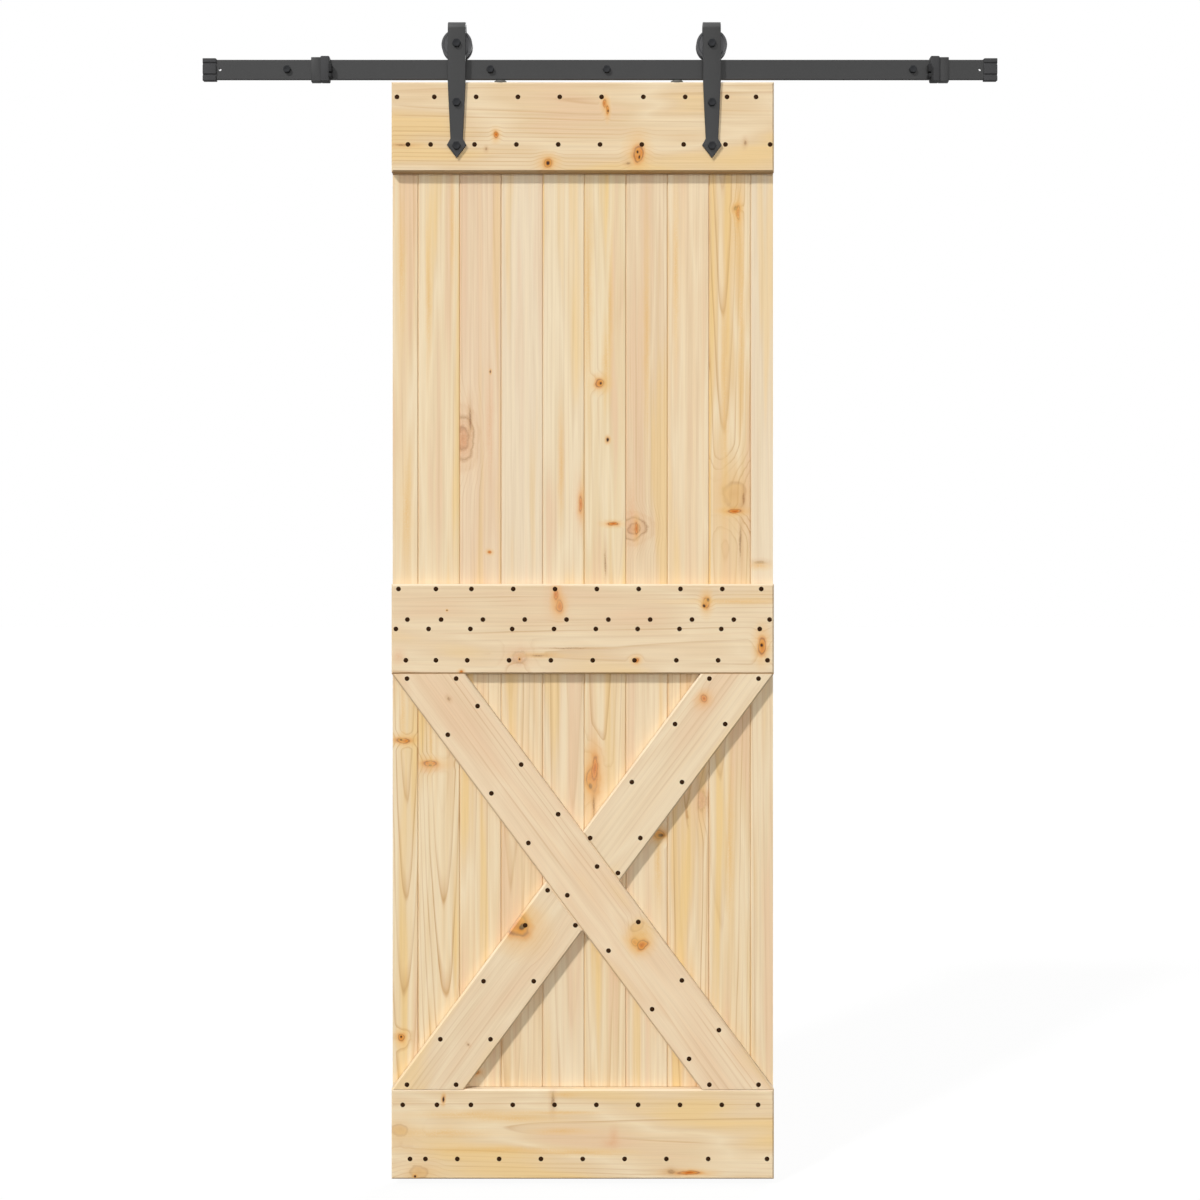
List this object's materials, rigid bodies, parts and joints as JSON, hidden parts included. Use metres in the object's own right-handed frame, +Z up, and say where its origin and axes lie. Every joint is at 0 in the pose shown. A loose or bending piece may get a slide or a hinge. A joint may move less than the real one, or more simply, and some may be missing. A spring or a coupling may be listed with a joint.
{
  "type": "sliding barn door",
  "caption": "Planked pine sliding door with battens and crossed braces, hung from strap hangers whose grooved wheels roll along a flat wall rail with end stops.",
  "frame": {"origin": "Middle of the rail's outer pair of wall bolts, on the wall plane behind the spacers.", "axes": "+X runs along the rail to the viewer's right, the front faces -Y, the wall is the plane y = 0, and +Z is up."},
  "size_m": [1.524, 0.068, 2.217],
  "materials": {
    "pine_boards": "planed, unfinished pine boards, grain upright",
    "pine_frame": "planed, unfinished pine with chamfered arrises",
    "nail_steel": "dark brown-black nail heads, matt",
    "black_steel": "matt black powder coat with a fine texture",
    "fixing_steel": "black finished hexagon heads",
    "wheel_nylon": "black nylon, turned",
    "bearing_steel": "ground bearing steel",
    "black_rubber": "black moulded rubber"
  },
  "bodies": {
    "track": {"rail": "black_steel", "wall_spacers": "black_steel", "wall_bolts": "fixing_steel", "end_cap_left": "black_rubber", "end_cap_right": "black_rubber", "end_stop_left": "black_steel", "end_stop_right": "black_steel", "stop_bumper_left": "black_rubber", "stop_bumper_right": "black_rubber", "stop_screws": "fixing_steel"},
    "door": {"anti_jump_discs": "black_steel", "axle_bolts": "fixing_steel", "axle_nuts": "fixing_steel", "bearing_inner_left": "bearing_steel", "bearing_inner_right": "bearing_steel", "bottom_batten": "pine_frame", "bottom_nails": "nail_steel", "brace_nails": "nail_steel", "disc_screws": "fixing_steel", "hanger_screws": "fixing_steel", "hanger_strap_left": "black_steel", "hanger_strap_right": "black_steel", "long_brace": "pine_frame", "lower_board_01": "pine_boards", "lower_board_02": "pine_boards", "lower_board_03": "pine_boards", "lower_board_04": "pine_boards", "lower_board_05": "pine_boards", "lower_board_06": "pine_boards", "lower_board_07": "pine_boards", "lower_board_08": "pine_boards", "lower_board_09": "pine_boards", "lower_board_10": "pine_boards", "lower_half_brace": "pine_frame", "middle_batten": "pine_frame", "middle_nails": "nail_steel", "top_batten": "pine_frame", "top_nails": "nail_steel", "upper_board_01": "pine_boards", "upper_board_02": "pine_boards", "upper_board_03": "pine_boards", "upper_board_04": "pine_boards", "upper_board_05": "pine_boards", "upper_board_06": "pine_boards", "upper_board_07": "pine_boards", "upper_board_08": "pine_boards", "upper_board_09": "pine_boards", "upper_board_10": "pine_boards", "upper_half_brace": "pine_frame"},
    "wheel_left": {"wheel_left": "wheel_nylon", "bearing_outer_left": "bearing_steel"},
    "wheel_right": {"wheel_right": "wheel_nylon", "bearing_outer_right": "bearing_steel"}
  },
  "joints": [
    {"name": "door_slide", "type": "slide", "parent": "track", "child": "door", "axis": [1, 0, 0], "range_m": [-0.2215, 0.3965]},
    {"name": "wheel_left_spin", "type": "hinge", "parent": "door", "child": "wheel_left", "pos_m": [-0.274, -0.035, 0.046], "axis": [0, 1, 0], "continuous": true},
    {"name": "wheel_right_spin", "type": "hinge", "parent": "door", "child": "wheel_right", "pos_m": [0.214, -0.035, 0.046], "axis": [0, 1, 0], "continuous": true}
  ],
  "couplings": [
    {"joint": "wheel_left_spin", "follows": "door_slide", "rad_per_m": 37.037},
    {"joint": "wheel_right_spin", "follows": "door_slide", "rad_per_m": 37.037}
  ]
}
